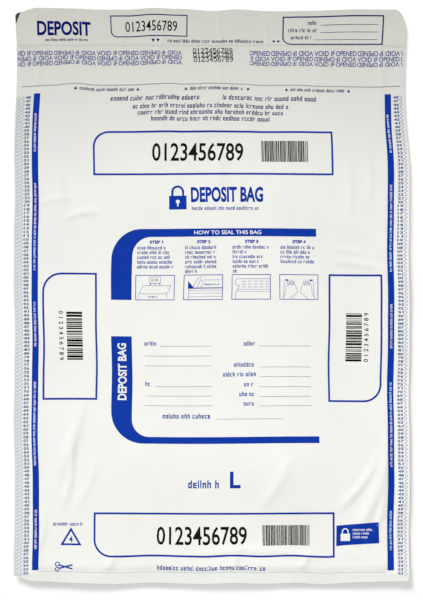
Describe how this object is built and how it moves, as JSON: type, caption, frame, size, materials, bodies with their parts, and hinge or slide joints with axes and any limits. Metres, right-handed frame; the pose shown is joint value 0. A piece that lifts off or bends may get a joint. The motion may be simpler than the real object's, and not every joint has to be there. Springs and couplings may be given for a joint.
{
  "type": "cash deposit bag",
  "caption": "Flat tamper-evident film deposit bag with welded sides, printed front panel, perforated tear-off receipt and fold-over adhesive closure flap.",
  "frame": {"origin": "centre of the bag's underside, where its back panel rests", "axes": "+X across the bag to the reader's right, +Y along the bag towards the mouth and the receipt, +Z out of the printed front"},
  "size_m": [0.486, 0.708, 0.0095],
  "materials": {
    "film_outer": "satin opaque white polyethylene film",
    "film_inner": "dark grey inner side of the film",
    "seam": "heat-welded white film with fine embossed ribs",
    "adhesive": "blue tamper-evident adhesive film",
    "liner": "siliconised release paper, satin",
    "ink_blue": "blue flexographic ink",
    "ink_dark": "dark blue to black numbering ink"
  },
  "bodies": {
    "root": {"back_panel": "film_inner", "left_side_weld": "seam", "right_side_weld": "seam", "bottom_fold": "film_outer"},
    "front": {"front_panel": "film_outer"},
    "flap": {"closure_flap": "film_inner", "void_tape": "adhesive"},
    "receipt": {"perforation_strip": "film_outer", "tear_off_receipt": "film_outer"},
    "liner": {"release_liner": "liner"}
  },
  "joints": [
    {"name": "mouth_open", "type": "hinge", "parent": "root", "child": "front", "pos_m": [0, -0.342, 0.00047], "axis": [1, 0, 0], "range_deg": [0, 5]},
    {"name": "flap_fold", "type": "hinge", "parent": "root", "child": "flap", "pos_m": [0, 0.306, 0.0018], "axis": [1, 0, 0], "range_deg": [0, 178]},
    {"name": "receipt_tear", "type": "slide", "parent": "flap", "child": "receipt", "axis": [0, 1, 0], "range_m": [0, 0.055]},
    {"name": "liner_peel", "type": "slide", "parent": "flap", "child": "liner", "axis": [0, 1, 0], "range_m": [0, 0.055]}
  ]
}
